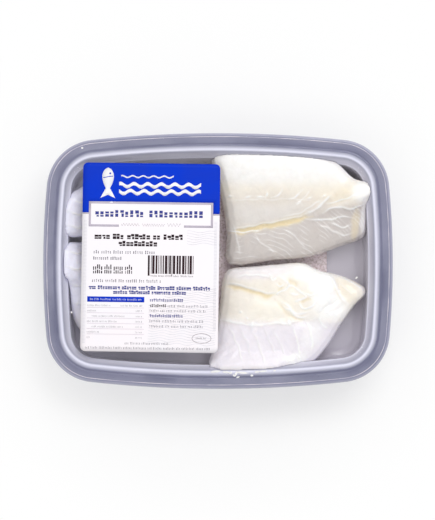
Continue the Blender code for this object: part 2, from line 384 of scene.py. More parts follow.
# The white membrane tone also carries painted highlights, the blue one a painted wet sheen, and the grey one
# painted shade, where marked below.
TONES = {
    "cream": srgb(251, 242, 226),
    "grey": srgb(202, 194, 190),
    "blue": srgb(238, 233, 241),
    "lilac": srgb(240, 239, 255),
    "crease": srgb(236, 219, 178),
    "membrane": srgb(255, 254, 253),
}

flesh = Finish("moist_cod_flesh")
soft_cloud = flesh.ramp(flesh.noise(70, detail=3, distortion=0.6), 0.3, 0.7)
fine_cloud = flesh.ramp(flesh.noise(260, detail=3, distortion=0.4), 0.3, 0.7)
tone = flesh.mix(flesh.combine("MULTIPLY", soft_cloud, 0.35), FLESH, TONES["cream"])
for name, colour in TONES.items():
    tone = flesh.mix(flesh.attribute(name), tone, colour)
shade = flesh.mix(flesh.combine("MULTIPLY", fine_cloud, 0.10), tone, TONES["grey"])
wet = flesh.ramp(flesh.noise(120, detail=3, distortion=0.8), 0.35, 0.7, 0.22, 0.46)
flesh.set(
    Base_Color=shade,
    Roughness=wet,
    Subsurface_Weight=0.18,
    Subsurface_Scale=0.003,
    Coat_Weight=0.25,
    Coat_Roughness=0.12,
    IOR=1.4,
)
flesh.shader.inputs["Subsurface Radius"].default_value = (1.0, 0.85, 0.7)
flesh.bump(flesh.noise(600, detail=2), 0.05, 0.15 * MM)


def drawn(path, steps=6):
    """A smooth curve through points given in mm, as an array of points."""
    path = [Vector(point) for point in path]
    ends = [path[0] * 2 - path[1]] + path + [path[-1] * 2 - path[-2]]
    made = []
    for before, start, stop, after in zip(ends, ends[1:], ends[2:], ends[3:]):
        for step in range(steps):
            t = step / steps
            point = start * (1 + 2 * t) * (1 - t) ** 2 + stop * t**2 * (3 - 2 * t)
            made.append(point + (stop - before) / 2 * t * (1 - t) ** 2 + (after - start) / 2 * t**2 * (t - 1))
    return np.array(made + [path[-1]])


def beside(path, x, y):
    """For each point: its distance in mm to a curve, on which side it lies, and how far along it is."""
    curve = drawn(path)
    nearest = np.full(len(x), 1e9)
    side, share = np.zeros(len(x)), np.zeros(len(x))
    for index, (start, stop) in enumerate(zip(curve, curve[1:])):
        run = stop - start
        length = max(np.hypot(*run), 1e-6)
        t = np.clip(((x - start[0]) * run[0] + (y - start[1]) * run[1]) / length**2, 0, 1)
        off_x, off_y = x - start[0] - t * run[0], y - start[1] - t * run[1]
        away = np.hypot(off_x, off_y)
        closer = away < nearest
        nearest[closer] = away[closer]
        side[closer] = np.sign(run[0] * off_y - run[1] * off_x)[closer]
        share[closer] = ((index + t) / (len(curve) - 1))[closer]
    return nearest, side, share


def hill(distance, half_width):
    """1 at no distance, falling smoothly to 0 beyond the half width."""
    return np.exp(-((distance / half_width) ** 2))


def fade(share, tip=0.18):
    """Lets a line thin out towards both its ends."""
    return np.clip(np.minimum(share, 1 - share) / tip, 0.25, 1)


def within(centre, reach, x, y, turn=0.0):
    """1 inside a soft oval in mm, 0 outside."""
    turn = math.radians(turn)
    off_x, off_y = x - centre[0], y - centre[1]
    along = off_x * math.cos(turn) + off_y * math.sin(turn)
    across = off_y * math.cos(turn) - off_x * math.sin(turn)
    reached = np.sqrt((along / reach[0]) ** 2 + (across / reach[1]) ** 2)
    return 1 / (1 + np.exp((reached - 1) * 7))


def grain(spots, scale, seed):
    """Soft noise from -1 to 1 at each point, one feature in scale mm."""
    return np.array([noise.noise(Vector(spot) / (scale * MM) + Vector((seed, 0, 0))) for spot in spots])


inner_wall = sorted((height, inset) for inset, height in tray_profile if inset >= BEAD_OUT)


def wall_inset(height):
    """How far inside the rim's outline the inner face of the tray's wall lies at a height."""
    return np.interp(height, *zip(*inner_wall))


HELD, LOOSE = 12 * MM, 21 * MM  # the tray holds the fish in shape below the one and not above the other
FILM_TOUCH = RIM - 0.1 * MM  # the fish presses up against the film but not through it
FINE_GRID, PLAIN_GRID = 0.42 * MM, 0.6 * MM  # of the pieces in the open and of those under the label


class Loin:
    """A piece of loin: its CAD solid remeshed finely and smoothed, then marked and folded."""

    def __init__(self, node, grid, softening):
        self.node = node
        body = bmesh.new()
        body.from_mesh(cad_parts[node].data)
        bmesh.ops.remove_doubles(body, verts=body.verts, dist=0.001 * MM)
        self.made = piece(node + "_flesh", body, flesh.material, smooth=None)
        remesh = self.made.modifiers.new("fine", "REMESH")
        remesh.mode = "VOXEL"
        remesh.voxel_size = grid
        soften = self.made.modifiers.new("soften", "SMOOTH")
        soften.factor = 0.5
        soften.iterations = softening
        bake_modifiers(self.made)
        self.spots = points_of(self.made)
        normals = np.empty(len(self.spots) * 3)
        self.made.data.vertex_normals.foreach_get("vector", normals)
        self.normals = normals.reshape(-1, 3)
        self.x, self.y = self.spots[:, 0] / MM, self.spots[:, 1] / MM
        self.wander_x = self.x + 0.9 * grain(self.spots, 5, 1)
        self.wander_y = self.y + 0.9 * grain(self.spots, 5, 9)
        self.upward = np.clip(self.normals[:, 2] * 1.6, 0, 1)
        self.rise = np.zeros(len(self.spots))
        self.tones = {name: np.zeros(len(self.spots)) for name in TONES}

    def tint(self, name, amount):
        """Adds to a tone, and keeps it at most 1."""
        self.tones[name] = np.clip(self.tones[name] + amount, 0, 1)

    def crease(self, path, half_width=1.1, depth=0.9, colour=0.9, lip=0.5):
        """A furrow between flakes: cream to yellow inside, with a raised white lip on its left-hand side."""
        away, side, share = beside(path, self.wander_x, self.wander_y)
        thin = fade(share)
        self.rise -= depth * thin * hill(away, half_width * 1.2)
        self.tint("crease", colour * thin * hill(away, half_width * thin + 0.2))
        edge = hill(away - half_width * 1.5, 0.55) * (side > 0) * thin
        self.rise += 0.3 * lip * edge
        self.tint("membrane", lip * edge)

    def membrane(self, path, half_width=0.45, height=0.35, colour=0.9, shingle=0.0, reach=6.0):
        """A thin white sheet seen on edge. With shingle, the flesh steps down past it, as flakes overlap, and
        the flesh on its right-hand side, the low side when shingle is positive, is painted grey as shade.
        """
        away, side, share = beside(path, self.wander_x, self.wander_y)
        thin = fade(share)
        self.rise += height * thin * hill(away, half_width * 1.4)
        self.tint("membrane", colour * thin * hill(away, half_width))
        if shingle:
            step = shingle * thin * np.exp(-away / reach) * np.tanh(away / 0.5)
            self.rise += step * side
            # Painted shade beside the step, on its right-hand side.
            self.tint("grey", 0.35 * thin * (side < 0) * np.exp(-away / reach))

    def fleck(self, path, half_width=0.6, height=0.7):
        """A small curl of torn white flesh that stands up."""
        away, _, share = beside(path, self.x, self.y)
        thin = fade(share, 0.4)
        self.rise += height * thin * hill(away, half_width)
        self.tint("membrane", thin * hill(away, half_width * 0.9))

    def finish(self, swell=0.7, push=(0, 0), ragged=0.22, low=0.08, slump=0.0):
        """Moves the points, paints the tones and hands the piece over. Near its top, where nothing holds it,
        the flesh swells sideways, is pushed towards the wall it leans on, and slumps to its neighbour."""
        rough = ragged * grain(self.spots, 3.2, 21) + low * grain(self.spots, 1.1, 37)
        lift = self.rise * self.upward + 0.35 * rough * np.clip(self.normals[:, 2] + 0.6, 0, 1)
        moved = self.spots.copy()
        moved[:, 2] += lift * MM
        free = np.clip((self.spots[:, 2] - HELD) / (LOOSE - HELD), 0, 1)
        sideways = np.zeros((len(self.spots), 2))
        for axis in (0, 1):
            toward = math.copysign(1, push[axis])
            leaning = np.clip(self.normals[:, axis] * toward, 0, 1) * push[axis]
            sideways[:, axis] = (self.normals[:, axis] * (rough * 0.6 + swell * free) + leaning * free) * MM
        slumped = np.clip(self.normals[:, 1] + 0.2, 0, 1) * within((36, -6), (22, 9), self.x, self.y)
        sideways[:, 1] += slump * slumped * free * MM
        share = np.zeros(len(self.spots))
        for part in (0.25, 0.5, 0.75, 1.0):
            reached = self.spots[:, :2] + sideways * part
            clear = rim_inset(reached[:, 0], reached[:, 1]) > wall_inset(moved[:, 2]) + 0.1 * MM
            share[clear & (share > part - 0.3)] = part
        moved[:, :2] += sideways * share[:, None]
        moved[:, 2] = np.minimum(moved[:, 2], FILM_TOUCH)
        self.made.data.vertices.foreach_set("co", moved.ravel())
        self.made.data.update()
        for name, values in self.tones.items():
            paint(self.made, name, values)
        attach(self.made, "root")
        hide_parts(self.node)


# Upper right: a thick piece with a smooth back that carries a painted highlight, a row of torn flecks, a long
# yellow crease that rises to the right, and below it flesh painted grey as shade, whose fibres bend down to
# the right.
loin = Loin("cod_upper_right", FINE_GRID, 12)
x, y = loin.wander_x, loin.wander_y
crease_height = 14.5 + 0.16 * x + 0.0009 * x**2
below = 1 / (1 + np.exp((y - crease_height) * 1.2))
# Painted shade: grey on the flesh below the crease and on the slope above it, where it slopes down to the
# front.
loin.tint("grey", 0.85 * below + 0.45 * within((26, 25), (36, 12), x, y, 4) * (1 - below))
loin.tint("cream", 0.75 * within((40, 38), (40, 7), x, y, 3) + 0.5 * within((62, 30), (16, 9), x, y, 12))
loin.tint("crease", 0.5 * within((73.5, 20), (1.9, 8), x, y, -5) + 0.18 * within((66, 35), (8, 3), x, y, 25))
# Painted highlight: the high back is painted white in the membrane tone where the lamp falls on it.
loin.tint("membrane", 0.75 * within((30, 51), (50, 9.5), x, y, -2))
loin.tint("membrane", 0.8 * within((77, 36), (5, 4), x, y) + 0.6 * within((77.6, 22), (1.6, 9), x, y))
bend = crease_height - y - 0.011 * np.maximum(x - 6, 0) ** 2 + 1.2 * grain(loin.spots, 9, 5)
fibre = np.maximum(0, np.sin(2 * math.pi * bend / 2.6)) ** 8
patchy = np.clip(grain(loin.spots, 6, 50) * 2.2 + 0.35, 0, 1)
loin.rise += 0.10 * fibre * below * patchy
loin.tint("membrane", 0.65 * fibre * below * patchy)
yellow_crease = [(6, 15.3), (12.4, 16.4), (21.7, 18.0), (31, 19.9), (40.4, 21.6), (51, 24.8)]
loin.crease(yellow_crease, 1.3, 0.6, 0.95, 0.6)
loin.tint("crease", 0.45 * hill(beside([(12, 17.0), (24, 19.2), (36, 21.8), (46, 24.4)], x, y)[0], 1.9))
for path, *edge in (
    ([(4.5, 16.4), (14, 16.0), (25, 17.0)], 0.4, 0.12, 0.9),
    ([(48, 22.4), (54, 23.0), (61, 22.4), (66, 23.8), (74, 23.4)], 0.5, 0.3, 1.0, 0.25, 4),
    ([(47, 25.5), (53, 28.5), (58, 33.0), (60, 35)], 0.45, 0.2, 0.9, 0.12, 3),
    ([(56, 26), (63, 29.2), (70, 28.6), (78, 31)], 0.45, 0.25, 0.95, 0.15, 3),
    ([(58, 31), (64, 32.6), (70, 33.8), (76, 36)], 0.4, 0.2, 0.8),
    ([(60, 21), (66, 18.5), (71, 19.5)], 0.4, 0.2, 0.8),
    ([(53, 20), (60, 17.6), (67, 14.2), (72, 15.0)], 0.4, 0.2, 0.6),
    ([(34, 24), (44, 26.5), (52, 31), (56, 32.5)], 0.4, 0.1, 0.6),
    ([(41, 30), (46, 33.6), (49, 38.4)], 0.35, 0.12, 0.6),
    ([(5, 33), (14, 33.6), (26, 33.0), (36, 33.8), (46, 32.6), (52, 33.6)], 0.35, 0.05, 0.4),
    ([(8, 21), (10.4, 12), (11.6, 4)], 0.35, 0.1, 0.45),
    ([(20, 14.6), (24.5, 9.0), (31, 4.6)], 0.35, 0.1, 0.6),
    ([(34, 17.6), (42, 13.0), (48, 7.0)], 0.35, 0.1, 0.6),
):
    loin.membrane(path, *edge)
for path in (
    [(14.2, 34.4), (16, 34.7), (18.4, 35.3)],
    [(19.8, 34.8), (22.5, 34.7), (25.6, 34.6)],
    [(25.4, 34.2), (26.4, 36.0), (26.2, 38.0)],
    [(28.5, 34.2), (31.5, 35.0), (33.4, 36.6), (34.6, 38.8)],
    [(38.2, 33.4), (41.0, 34.2), (43.0, 36.0), (45.2, 38.2)],
    [(47.3, 33.6), (49.0, 33.9), (50.4, 34.6)],
    [(42.0, 31.0), (43.6, 31.8), (44.6, 31.4)],
    [(5.4, 34.8), (6.6, 35.2), (7.6, 35.0)],
    [(56.0, 34.6), (58.0, 35.6)],
):
    loin.fleck(path, 0.55, 0.35)
loin.finish(1.2, (0.3, 0.8))

# Lower right: a folded piece that leans up the front wall. Two creases and a set of pleats run to its thick
# shoulder, which is painted white as a highlight, a straight white seam crosses it, and below that slanted
# membranes part broad flakes, with painted shade under the seam and a painted wet sheen by the upper edge.
# Its right-hand tip is a separate-looking flap of tan flesh.
loin = Loin("cod_lower_right", FINE_GRID, 12)
x, y = loin.wander_x, loin.wander_y
seam_height = -32.4 - 1.6 * np.exp(-(((x - 26) / 16) ** 2))
under = 1 / (1 + np.exp((y - seam_height) * 0.9))
# Painted wet sheen: the blue patch by the upper edge.
loin.tint("blue", 0.95 * under + 0.6 * within((22, -5), (20, 5), x, y))
# Painted shade: grey under the seam, where the flesh slopes down to the front; and a grey patch near the left
# end.
loin.tint("grey", 0.22 * under + 0.20 * within((8, -20), (10, 10), x, y))
loin.tint("cream", 0.5 * (1 - under) * within((28, -20), (34, 13), x, y))
# Painted highlight: white patches on the high shoulder, in the membrane tone.
loin.tint("membrane", 0.9 * within((59, -23), (8, 9), x, y, 60) + 0.8 * within((52, -8), (11, 6), x, y, -25))
loin.tint("membrane", 0.8 * within((41, -52), (6, 2.5), x, y, 15))
loin.tint("membrane", 0.5 * within((50, -40), (5, 9), x, y, -25))
flap = within((69.5, -14.5), (8.5, 6.5), x, y, -35)
loin.tones["membrane"] *= 1 - 0.9 * flap
loin.tint("crease", 0.30 * flap + 0.2 * within((20, -59), (26, 1.8), x, y))
long_crease = [(4.6, -13.6), (9.3, -13.8), (15.5, -15.2), (21.7, -17.2), (26.7, -18.6), (32, -17.8)]
loin.crease(long_crease, 1.2, 0.5, 0.9, 0.8)
loin.membrane([(9, -8.0), (16, -7.6), (23, -8.2), (28, -9.4), (31.5, -10.8)], 0.45, 0.25, 0.95, 0.12, 3)
for path, height in (
    ([(27.0, -7.6), (29.4, -11.2), (31.8, -9.0)], 0.3),
    ([(33, -9.4), (38, -12.4), (36.7, -15.6), (33, -16.4), (31.6, -18.8)], 0.35),
    ([(34.2, -15.6), (39.2, -13.8), (44.2, -16.8), (46.8, -19.2), (43, -21.2), (39.8, -21.8)], 0.35),
    ([(34.2, -21.6), (38, -24.4), (40.4, -28), (44.2, -29.8), (48.6, -28.8)], 0.3),
    ([(43.6, -21.6), (45.4, -25.2), (49.8, -24.4), (51.7, -22.4)], 0.3),
    ([(35.0, -24.4), (39.4, -26.6), (43, -28.2), (50.4, -26.6)], 0.25),
    ([(30.6, -12.4), (33.4, -13.6), (35.4, -12.6)], 0.25),
    ([(45.8, -17.0), (50.0, -18.2), (54.0, -16.4)], 0.25),
    ([(38.6, -17.6), (41.6, -18.6), (43.6, -18.2)], 0.2),
):
    loin.membrane(path, 0.42, height, 1.0)
for path, half_width, colour in (
    ([(36.8, -10.8), (41, -13), (39.4, -15)], 1.0, 0.5),
    ([(44, -21.6), (47.5, -20.4), (50, -21.2)], 0.9, 0.6),
    ([(30, -21), (36, -27), (42, -31.0), (47, -31.0)], 1.0, 0.4),
    ([(31, -12.5), (34, -14.2), (32, -16.6)], 0.9, 0.5),
):
    loin.crease(path, half_width, 0.3, colour, 0)
seam = [(-2, -31.6), (4, -31.9), (9.3, -33.0), (16.7, -34.3)]
seam += [(24.9, -34.3), (31.7, -33.7), (37.3, -33.3), (46, -31.2)]
loin.membrane(seam, 0.5, 0.3, 1.0, 0.15, 5)
loin.membrane([(18.2, -32.6), (17.6, -35.2)], 0.5, 0.25, 0.9)
loin.membrane([(37.4, -31.4), (39.0, -34.6)], 0.45, 0.25, 0.9)
for path, colour in (
    ([(5.8, -35), (9.3, -42), (12.4, -50.5), (13.4, -56)], 0.75),
    ([(18.6, -38), (21, -43), (24, -50.5), (25, -56)], 0.65),
    ([(29.6, -38), (33.4, -45), (36, -52)], 0.5),
    ([(40.0, -35), (42, -42), (43.8, -50)], 0.95),
    ([(46.6, -32.4), (48.6, -36.5), (50.6, -43), (49.8, -48)], 1.0),
    ([(54.4, -29.5), (56, -33.4), (59.4, -36)], 0.9),
    ([(12.0, -36), (15.6, -44), (18, -52)], 0.35),
    ([(25.0, -36), (28, -43), (30.6, -51)], 0.35),
):
    loin.membrane(path, 0.42, 0.14, colour, 0.12, 5)
loin.membrane([(58, -7), (62, -9.6), (63, -14), (66.5, -19), (69, -23)], 0.6, 0.4, 1.0, -0.25, 3)
loin.membrane([(63, -6.8), (70, -9.8), (75.6, -13), (78.6, -16)], 0.6, 0.2, 0.9)
loin.membrane([(64, -11.6), (69, -14.8), (72, -18.8)], 0.4, 0.2, 0.5)
for path in (
    [(35.6, -52.5), (38, -53.6), (40.6, -52.6)],
    [(42.0, -50.2), (43.4, -51.6), (43.2, -53)],
    [(43.4, -48.0), (44.2, -50.0)],
    [(39.4, -54.6), (41.6, -54.4)],
    [(64.6, -15.0), (65.6, -16.4)],
    [(11.6, -27.0), (13.2, -27.6)],
    [(14.8, -30.2), (16.6, -30.8)],
    [(56.4, -20.0), (58.8, -21.4), (60.6, -24.0)],
    [(60.8, -27.4), (63.2, -29.2)],
    [(57.8, -26.6), (58.4, -28.8)],
):
    loin.fleck(path, 0.5, 0.35)
loin.finish(1.3, (0.2, -1.2), slump=3.0)

# Upper left and lower left: two pieces that lie mostly under the label, their bluish ends up against the
# wall beside it.
for node, middle, lines in (
    (
        "cod_upper_left",
        (-78, 24),
        (
            [(-82, 27), (-76, 25), (-70, 26), (-60, 24), (-40, 26)],
            [(-81, 19), (-75, 18), (-68, 20), (-50, 18)],
            [(-78, 33), (-72, 31), (-64, 33), (-48, 31), (-20, 33)],
            [(-60, 40), (-40, 37), (-15, 39)],
        ),
    ),
    (
        "cod_lower_left",
        (-79, -2),
        (
            [(-82, 5), (-76, 4), (-70, 5), (-50, 2), (-20, 4)],
            [(-81, -3), (-76, -4.5), (-70, -3), (-50, -7)],
            [(-79, -12), (-75, -13.4), (-70, -12.6), (-55, -16), (-30, -14)],
            [(-78, -22), (-73, -23), (-66, -22), (-45, -27)],
            [(-75, -32), (-66, -31), (-50, -36), (-25, -35)],
        ),
    ),
):
    loin = Loin(node, PLAIN_GRID, 8)
    x, y = loin.wander_x, loin.wander_y
    loin.tint("lilac", within(middle, (16, 30), x, y))
    loin.rise += 2.5 * within((-78, -10), (9, 18), x, y)
    for path in lines:
        loin.membrane(path, 0.5, 0.35, 0.7, 0.45, 5)
    loin.finish(1.0)


# ----------------------------------------
# The lid. Clear laminated film, welded to the flange by a hot die that also cuts it, about 2 mm inside the
# tray's edge. Its corners are drawn into short wrinkles, and the gas inside makes it bulge a little.

FILM_MARGIN = 1.9 * MM
FILM_THICKNESS = 0.05 * MM
FILM_BULGE = 0.60 * MM
PLEAT = 0.34 * MM
WRINKLED_PAST = (65 * MM, 43 * MM)  # the wrinkles fan out from there in each corner


def film_height(x, y):
    """The underside of the film at points in metres: flat on the flange, then gently bulging."""
    inwards = np.clip((rim_inset(x, y) - BEAD_IN) / (50 * MM), 0, 1)
    return RIM + 0.03 * MM + FILM_BULGE * np.sin(inwards * math.pi / 2)


def cut_sheet(shapes, cuts_x, cuts_y):
    """A flat sheet of those shapes, cut into a grid fine enough to be bent."""
    sheet = bmesh.new()
    for corners in shapes:
        sheet.faces.new([sheet.verts.new((x, y, 0)) for x, y in corners])
    for axis, cuts in ((0, cuts_x), (1, cuts_y)):
        normal = Vector((1, 0, 0)) if axis == 0 else Vector((0, 1, 0))
        for cut in cuts:
            everything = sheet.verts[:] + sheet.edges[:] + sheet.faces[:]
            bmesh.ops.bisect_plane(sheet, geom=everything, dist=1e-7, plane_co=normal * cut, plane_no=normal)
    return sheet


def steps_to(reach, coarse, fine, fine_from):
    """Places from -reach to reach, coarse in the middle and fine near the ends."""
    half = list(np.arange(0, fine_from, coarse)) + list(np.arange(fine_from, reach, fine))
    return [-place for place in half[:0:-1]] + half


film_mesh = cut_sheet(
    [rim_outline(FILM_MARGIN)],
    steps_to(HALF_LENGTH, 2 * MM, 0.5 * MM, 62 * MM),
    steps_to(HALF_WIDTH, 2 * MM, 0.5 * MM, 46 * MM),
)
# The film mirrors light that meets it from outside. On the way out of the sheet nothing is mirrored back.
lidding = Finish("lidding_film")
lidding.tree.nodes.remove(lidding.shader)
mirrored = lidding.node("Fresnel", IOR=1.32).outputs[0]
leaving = lidding.node("NewGeometry").outputs["Backfacing"]
lidding.surface(
    lidding.combine("SUBTRACT", mirrored, leaving, clamp=True),
    lidding.node("BsdfTransparent", Color=(1, 1, 1, 1)),
    lidding.node("BsdfGlossy", Roughness=0.08),
)
film = piece("lid_film", film_mesh, lidding.material, smooth=None)
spots = points_of(film)
film_in = rim_inset(spots[:, 0], spots[:, 1])
rise = film_height(spots[:, 0], spots[:, 1])
rise += 0.10 * MM * ring(film_in, BEAD_IN + 0.3 * MM, 0.7 * MM)
past_x, past_y = np.abs(spots[:, 0]) - WRINKLED_PAST[0], np.abs(spots[:, 1]) - WRINKLED_PAST[1]
corner_turn = np.arctan2(past_y, past_x)
from_ends = np.minimum(np.degrees(corner_turn) + 8, 98 - np.degrees(corner_turn))
at_corner = np.clip(from_ends / 12, 0, 1) * (past_x > 0) * (past_y > 0)
pulled = ring(film_in, 12.2 * MM, 1.8 * MM)
pleat = np.maximum(0, np.sin(corner_turn * 21 + 9 * np.sin(corner_turn * 3))) ** 2
rise += PLEAT * pleat * at_corner * pulled
spots[:, 2] = rise
film.data.vertices.foreach_set("co", spots.ravel())
thicken(film, FILM_THICKNESS, 1)
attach(film, "root")
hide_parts("film_lid")


# ----------------------------------------
# The label. White self-adhesive paper with round corners, stuck on the film by hand, a little askew. It is
# printed in blue over its head, with a framed box for the name, and in black and blue rows below that.

PAPER_WIDTH, PAPER_HEIGHT = 73.4 * MM, 101 * MM
FULL = PAPER_WIDTH / MM
PAPER_CORNER = 2.6 * MM
PAPER_THICKNESS = 0.12 * MM
INK_THICKNESS = 0.012 * MM
PAPER_CENTRE = Vector((-36.1 * MM, 1.6 * MM))
PAPER_TURN = math.radians(-0.8)
paper_cuts_x = np.arange(-PAPER_WIDTH / 2, PAPER_WIDTH / 2, 3.3 * MM)[1:]
paper_cuts_y = np.arange(-PAPER_HEIGHT / 2, PAPER_HEIGHT / 2, 3.3 * MM)[1:]


def on_paper(x, y):
    """A place on the label in mm from its top left corner, as metres from the label's middle."""
    return x * MM - PAPER_WIDTH / 2, PAPER_HEIGHT / 2 - y * MM


def outline(*corners):
    """A closed shape on the label, from its corners in mm."""
    return [on_paper(x, y) for x, y in corners]


def paper_shape(height, low_corner, steps=5):
    """The label from its top down to a height in mm, with its round top corners and those low ones."""
    corners = []
    for side, end, radius, first in (
        (1, 0, PAPER_CORNER, 0),
        (-1, 0, PAPER_CORNER, 90),
        (-1, 1, low_corner, 180),
        (1, 1, low_corner, 270),
    ):
        radius /= MM
        middle_x = FULL / 2 + side * (FULL / 2 - radius)
        middle_y = height - radius if end else radius
        for step in range(steps + 1 if radius else 1):
            turn = math.radians(first + 90 * step / steps)
            corners.append((middle_x + radius * math.cos(turn), middle_y - radius * math.sin(turn)))
    return outline(*corners)


def bar(left, top, right, bottom):
    """A plain box on the label, in mm from its top left corner."""
    return outline((right, top), (left, top), (left, bottom), (right, bottom))


def lay_on_film(made, height, thickness):
    """Bends a flat sheet on the label's own axes over the bulging film, turns it and gives it a body."""
    spots = points_of(made)
    turned = Matrix.Rotation(PAPER_TURN, 2)
    x = spots[:, 0] * turned[0][0] + spots[:, 1] * turned[0][1] + PAPER_CENTRE.x
    y = spots[:, 0] * turned[1][0] + spots[:, 1] * turned[1][1] + PAPER_CENTRE.y
    spots[:, 0], spots[:, 1] = x, y
    spots[:, 2] = film_height(x, y) + FILM_THICKNESS + height
    made.data.vertices.foreach_set("co", spots.ravel())
    thicken(made, thickness, 1)
    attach(made, "root")
    return made


paper_stock = Finish("label_paper")
paper_cloud = paper_stock.ramp(paper_stock.noise(60), 0.3, 0.7)
paper_stock.set(
    Base_Color=paper_stock.mix(paper_cloud, srgb(247, 244, 249), srgb(250, 244, 248)),
    Roughness=paper_stock.ramp(paper_stock.noise(500, detail=3), 0.3, 0.7, 0.42, 0.52),
)
paper_mesh = cut_sheet([paper_shape(PAPER_HEIGHT / MM, PAPER_CORNER)], paper_cuts_x, paper_cuts_y)
paper = piece("label_paper", paper_mesh, paper_stock.material, smooth=None)
lay_on_film(paper, 0.01 * MM, PAPER_THICKNESS)
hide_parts("label")


def ink(name, colour, shapes, level=0.0, roughness=0.4):
    """One colour of the print: flat shapes cut as the paper is, a hair above it."""
    tone = Finish("ink_" + name)
    faded = tuple(c * 0.9 + 0.004 for c in colour[:3]) + (1.0,)
    tone.set(Base_Color=tone.mix(tone.ramp(tone.noise(70), 0.3, 0.7), colour, faded), Roughness=roughness)
    tone.set(Specular_IOR_Level=0.08)
    made = piece("label_" + name, cut_sheet(shapes, paper_cuts_x, paper_cuts_y), tone.material, smooth=None)
    return lay_on_film(made, PAPER_THICKNESS + (0.012 + level) * MM, INK_THICKNESS)


uneven = random.Random(5)


def row(left, right, top, height, heaviness=0.7, word=(3, 9), pitch=0.66):
    """A row of print with no lettering in it: plain blocks of uneven size, grouped as words are."""
    shapes = []
    pitch *= height
    place, left_in_word = left, uneven.randint(*word)
    while place + pitch * 0.7 <= right:
        if left_in_word == 0:
            place += pitch * 0.7
            left_in_word = uneven.randint(*word)
            continue
        start = top + height * (0.0 if uneven.random() < 0.35 else 0.22)
        width = pitch * heaviness * uneven.uniform(0.85, 1.15)
        split = start + (top + height - start) * uneven.uniform(0.35, 0.6)
        shapes.append(bar(place, start, place + width, split))
        low_left = place + width * uneven.choice((0, 0, 0.35))
        shapes.append(bar(low_left, split + height * 0.1, place + width, top + height))
        place += pitch
        left_in_word -= 1
    return shapes


def wave(left, right, middle, height, length, width, start=0.0, drift=0.0):
    """A wavy line of even width on the label, in mm, as one closed outline."""
    count = max(6, round((right - left) / min(length / 8, 1.2)))
    places = [left + (right - left) * step / count for step in range(count + 1)]
    turns = [2 * math.pi * x / length + start for x in places]
    swell = [middle + height * math.sin(turn) + drift * (x - left) for turn, x in zip(turns, places)]
    lower = [on_paper(x, y + width / 2) for x, y in zip(places, swell)]
    upper = [on_paper(x, y - width / 2) for x, y in zip(places, swell)]
    return lower + upper[::-1]


def oval(middle_x, middle_y, half_width, half_height, steps):
    """The points of an oval on the label, in mm."""
    turns = [2 * math.pi * step / steps for step in range(steps)]
    places = [(middle_x + half_width * math.cos(t), middle_y - half_height * math.sin(t)) for t in turns]
    return outline(*places)


BLUE = srgb(2, 56, 206)
NAVY = srgb(70, 76, 150)
BLACK = srgb(46, 32, 38)
DARK_GREY = srgb(112, 106, 120)
HEAD_LOW, BOX_TOP, BOX_LEFT, BOX_RIGHT, BOX_LOW = 26.8, 20.8, 3.4, 69.9, 34.3
FRAME = 1.2
TABLE_LEFT, TABLE_RIGHT, TABLE_TOP, TABLE_ROW = 3.3, 33.8, 76.0, 2.83

# The blue head with the box cut out of it, the strip over the table, and the bold rows.
head = paper_shape(HEAD_LOW, 0)
notch = outline((BOX_LEFT, HEAD_LOW), (BOX_LEFT, BOX_TOP), (BOX_RIGHT, BOX_TOP), (BOX_RIGHT, HEAD_LOW))
ink("head_blue", BLUE, [head[:-1] + notch + head[-1:], bar(TABLE_LEFT, 71.7, TABLE_RIGHT, 74.6)])
ink(
    "rows_navy",
    NAVY,
    row(6.9, 33.4, 25.4, 3.6, 0.66, (30, 30), 0.74)
    + row(35.8, 66.4, 25.4, 3.6, 0.66, (30, 30), 0.74)
    + row(4, 69.3, 65.8, 2.0, 0.85)
    + row(17.1, 56.4, 68.3, 1.9, 0.85)
    + row(36.8, 54.6, 72.5, 1.5, 0.66, (20, 20))
    + row(36.8, 55.2, 80.9, 1.5, 0.66, (20, 20)),
)
ink(
    "rows_black",
    BLACK,
    row(6.7, 53.4, 38.1, 2.8, 0.84, (2, 9), 0.74)
    + row(19.6, 40.6, 41.8, 2.8, 0.84, (12, 12), 0.74)
    + row(6.2, 27.6, 54.6, 4.8, 0.55, (4, 6), 0.22)
    + row(36.8, 45.6, 75.5, 1.5, 0.6, (20, 20)),
)

# The bar code: plain bars of uneven width, with longer guard bars at its ends and middle.
CODE_LEFT, CODE_RIGHT, CODE_TOP, CODE_LOW, GUARD_LOW = 35.4, 60.9, 49.4, 59.2, 60.3
bars, place = [], CODE_LEFT
while place < CODE_RIGHT - 0.5:
    width = uneven.choice((0.33, 0.33, 0.66, 0.99, 1.3))
    guard = place < CODE_LEFT + 1 or place > CODE_RIGHT - 1.3 or abs(place - 48) < 0.7
    bars.append(bar(place, CODE_TOP, min(place + width, CODE_RIGHT), GUARD_LOW if guard else CODE_LOW))
    place += width + uneven.choice((0.33, 0.33, 0.5, 0.66))
ink("bars_black", srgb(52, 34, 40), bars + row(37, 60, 59.9, 0.9, 0.4, (6, 6)))

